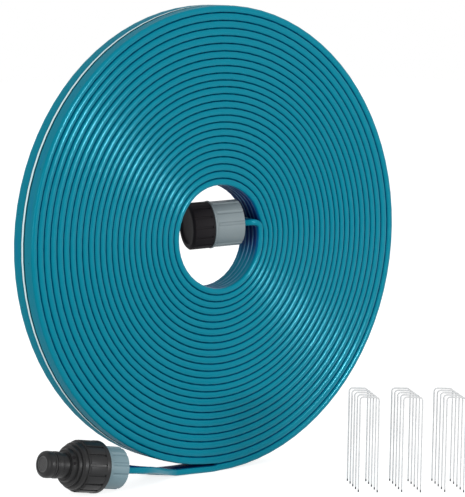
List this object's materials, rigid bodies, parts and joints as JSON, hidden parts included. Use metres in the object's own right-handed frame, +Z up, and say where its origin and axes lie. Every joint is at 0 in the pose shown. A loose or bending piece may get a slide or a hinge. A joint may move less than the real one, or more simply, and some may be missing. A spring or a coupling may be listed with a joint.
{
  "type": "soaker hose",
  "caption": "Flat soaker hose wound in one layer on edge, with a quick-connect inlet, a screw-capped end and bundles of wire ground staples.",
  "frame": {"origin": "on the ground, under the middle of the coil that stands on edge", "axes": "+Z up, +Y along the coil's axis towards its back, -X towards the inlet's nipple"},
  "size_m": [0.315, 0.1853, 0.3171],
  "materials": {
    "hose": "satin flexible vinyl",
    "grey_plastic": "fine moulded grain",
    "black_plastic": "fine moulded grain",
    "dark_plastic": "satin",
    "acetal": "satin",
    "seal_rubber": "smooth",
    "steel_wire": "galvanised"
  },
  "bodies": {
    "hose": {"hose_coil": "hose", "hose_tail": "hose", "inlet_spigot": "grey_plastic", "inlet_collet": "acetal", "end_spigot": "grey_plastic", "end_collet": "acetal"},
    "inlet_ring": {"inlet_slip_ring": "acetal"},
    "inlet_nut": {"inlet_clamp_nut": "grey_plastic"},
    "nipple": {"connector_nipple": "black_plastic", "nipple_o_ring": "seal_rubber", "nipple_strainer": "dark_plastic", "inlet_washer": "seal_rubber"},
    "collar": {"connector_collar": "black_plastic"},
    "end_ring": {"end_slip_ring": "acetal"},
    "end_nut": {"end_clamp_nut": "grey_plastic"},
    "end_seal": {"end_washer": "seal_rubber"},
    "cap": {"end_cap": "black_plastic"},
    "left_staples": {"staples_left": "steel_wire"},
    "middle_staples": {"staples_middle": "steel_wire"},
    "right_staples": {"staples_right": "steel_wire"}
  },
  "joints": [
    {"name": "inlet_nut_travel", "type": "slide", "parent": "hose", "child": "inlet_ring", "axis": [0.9877, 0, -0.1564], "range_m": [0, 0.0045]},
    {"name": "inlet_nut_unscrew", "type": "hinge", "parent": "inlet_ring", "child": "inlet_nut", "pos_m": [-0.092, -0.018, 0.01425], "axis": [0.9877, 0, -0.1564], "range_deg": [0, 1080]},
    {"name": "collar_travel", "type": "slide", "parent": "hose", "child": "nipple", "axis": [-0.9877, 0, 0.1564], "range_m": [0, 0.00726]},
    {"name": "collar_unscrew", "type": "hinge", "parent": "nipple", "child": "collar", "pos_m": [-0.092, -0.018, 0.01425], "axis": [-0.9877, 0, 0.1564], "range_deg": [0, 1440]},
    {"name": "end_nut_travel", "type": "slide", "parent": "hose", "child": "end_ring", "axis": [0.946, -0.3165, 0.0698], "range_m": [0, 0.003]},
    {"name": "end_nut_unscrew", "type": "hinge", "parent": "end_ring", "child": "end_nut", "pos_m": [0.02329, 0.00209, 0.16894], "axis": [0.946, -0.3165, 0.0698], "range_deg": [0, 720]},
    {"name": "cap_travel", "type": "slide", "parent": "hose", "child": "end_seal", "axis": [-0.946, 0.3165, -0.0698], "range_m": [0, 0.00726]},
    {"name": "cap_unscrew", "type": "hinge", "parent": "end_seal", "child": "cap", "pos_m": [0.02329, 0.00209, 0.16894], "axis": [-0.946, 0.3165, -0.0698], "range_deg": [0, 1440]},
    {"name": "left_staples_lift", "type": "slide", "parent": "hose", "child": "left_staples", "axis": [0, 0, 1], "range_m": [0, 0.07]},
    {"name": "middle_staples_lift", "type": "slide", "parent": "hose", "child": "middle_staples", "axis": [0, 0, 1], "range_m": [0, 0.07]},
    {"name": "right_staples_lift", "type": "slide", "parent": "hose", "child": "right_staples", "axis": [0, 0, 1], "range_m": [0, 0.07]}
  ],
  "couplings": [
    {"joint": "inlet_nut_travel", "follows": "inlet_nut_unscrew", "m_per_rad": 0.00023873},
    {"joint": "collar_travel", "follows": "collar_unscrew", "m_per_rad": 0.00028871},
    {"joint": "end_nut_travel", "follows": "end_nut_unscrew", "m_per_rad": 0.00023873},
    {"joint": "cap_travel", "follows": "cap_unscrew", "m_per_rad": 0.00028871}
  ]
}
